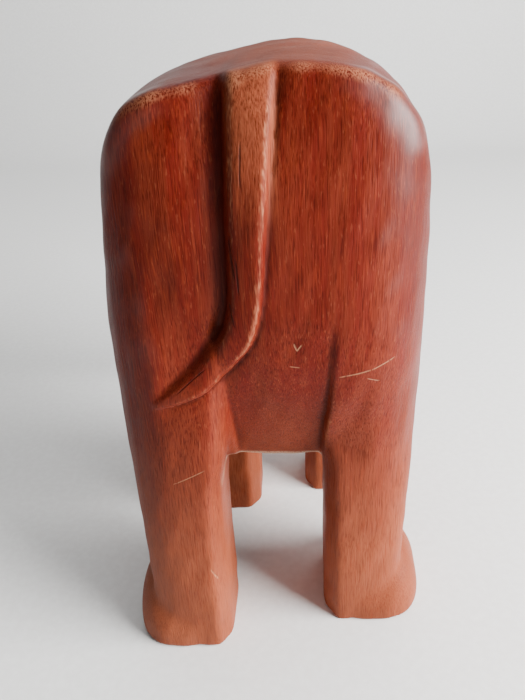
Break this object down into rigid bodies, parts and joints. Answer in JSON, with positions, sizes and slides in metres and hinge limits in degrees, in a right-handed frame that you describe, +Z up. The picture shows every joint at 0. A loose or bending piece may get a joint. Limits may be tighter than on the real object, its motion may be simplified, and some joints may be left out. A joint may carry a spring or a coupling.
{
  "type": "carved elephant figurine",
  "caption": "Standing elephant carved from one block of stained wood, with inset pale tusks and dark bead eyes, for display on a flat surface.",
  "frame": {"origin": "on the surface the elephant stands on, under the middle of its bounding box", "axes": "+Z up, the head looks along -Y, and +X is the elephant's own left"},
  "size_m": [0.1316, 0.2612, 0.2498],
  "materials": {
    "stained_wood": "red-brown stain under a worn semi-gloss varnish",
    "pale_wood": "bare pale wood, sanded and waxed",
    "dark_bead": "gloss"
  },
  "bodies": {
    "root": {"carved_body": "stained_wood", "tusk_left": "pale_wood", "tusk_right": "pale_wood", "eye_left": "dark_bead", "eye_right": "dark_bead"}
  },
  "joints": []
}
